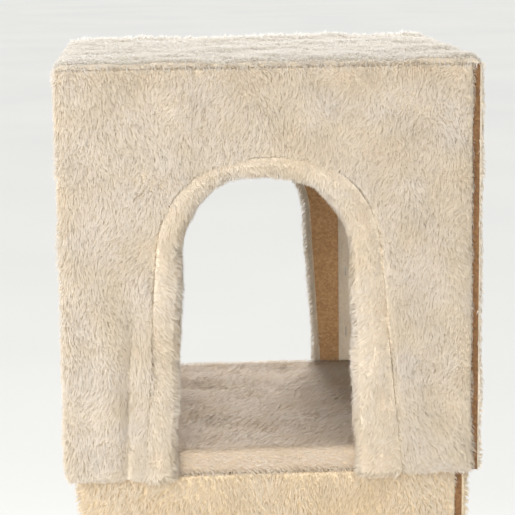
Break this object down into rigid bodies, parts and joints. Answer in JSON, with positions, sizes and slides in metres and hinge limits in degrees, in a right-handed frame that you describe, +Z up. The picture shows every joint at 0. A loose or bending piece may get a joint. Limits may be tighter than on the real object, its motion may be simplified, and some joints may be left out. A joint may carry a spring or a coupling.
{
  "type": "cat tree",
  "caption": "Free-standing cat tree: stacked plush cabins with arched see-through doorways, on sisal scratching posts and a plush-covered base.",
  "frame": {"origin": "centre of the object's box on the floor", "axes": "+Z up along the height; the main doorways face -Y; +X to the right as seen from the front"},
  "size_m": [0.5, 0.5, 1.158],
  "materials": {
    "plush_cream": "cream faux fur with a pile of about 8 to 12 mm",
    "plush_tan": "slightly yellower cream faux fur",
    "floor_plush": "short grey-beige plush",
    "fleece": "thin beige fleece",
    "board": "bare brown particle board",
    "cardboard": "spiral-wound cardboard",
    "sisal": "twisted natural sisal rope",
    "plug": "black moulded plastic",
    "foot": "black rubber",
    "zinc": "zinc-plated steel"
  },
  "bodies": {
    "root": {"lower_front_board": "board", "lower_rear_board": "board", "lower_left_board": "board", "lower_right_board": "board", "lower_roof_board": "board", "lower_floor_board": "board", "lower_front_cover": "plush_tan", "lower_rear_cover": "plush_tan", "lower_left_cover": "plush_tan", "lower_right_cover": "plush_tan", "lower_front_binding": "plush_tan", "lower_rear_binding": "plush_tan", "lower_floor_cover": "floor_plush", "lower_left_lining": "fleece", "lower_right_lining": "fleece", "lower_screws": "zinc", "lower_staples": "zinc", "upper_front_board": "board", "upper_rear_board": "board", "upper_left_board": "board", "upper_right_board": "board", "upper_roof_board": "board", "upper_floor_board": "board", "upper_front_cover": "plush_cream", "upper_rear_cover": "plush_cream", "upper_left_cover": "plush_cream", "upper_right_cover": "plush_cream", "upper_front_binding": "plush_cream", "upper_rear_binding": "plush_cream", "upper_floor_cover": "floor_plush", "upper_left_lining": "fleece", "upper_right_lining": "fleece", "upper_screws": "zinc", "upper_staples": "zinc", "upper_top_cover": "plush_cream", "post_tube_front_left": "cardboard", "sisal_front_left": "sisal", "post_tube_front_right": "cardboard", "sisal_front_right": "sisal", "post_tube_rear_left": "cardboard", "sisal_rear_left": "sisal", "post_tube_rear_right": "cardboard", "sisal_rear_right": "sisal", "post_bottom_plugs": "plug", "post_top_plugs": "plug", "post_bottom_bolts": "zinc", "post_top_bolts": "zinc", "post_washers": "zinc", "cabin_bolts": "zinc", "cabin_washers": "zinc", "cabin_nuts": "zinc", "foot_screws": "zinc", "base_staples": "zinc", "base_board": "board", "base_cover": "plush_cream", "base_feet": "foot"}
  },
  "joints": []
}
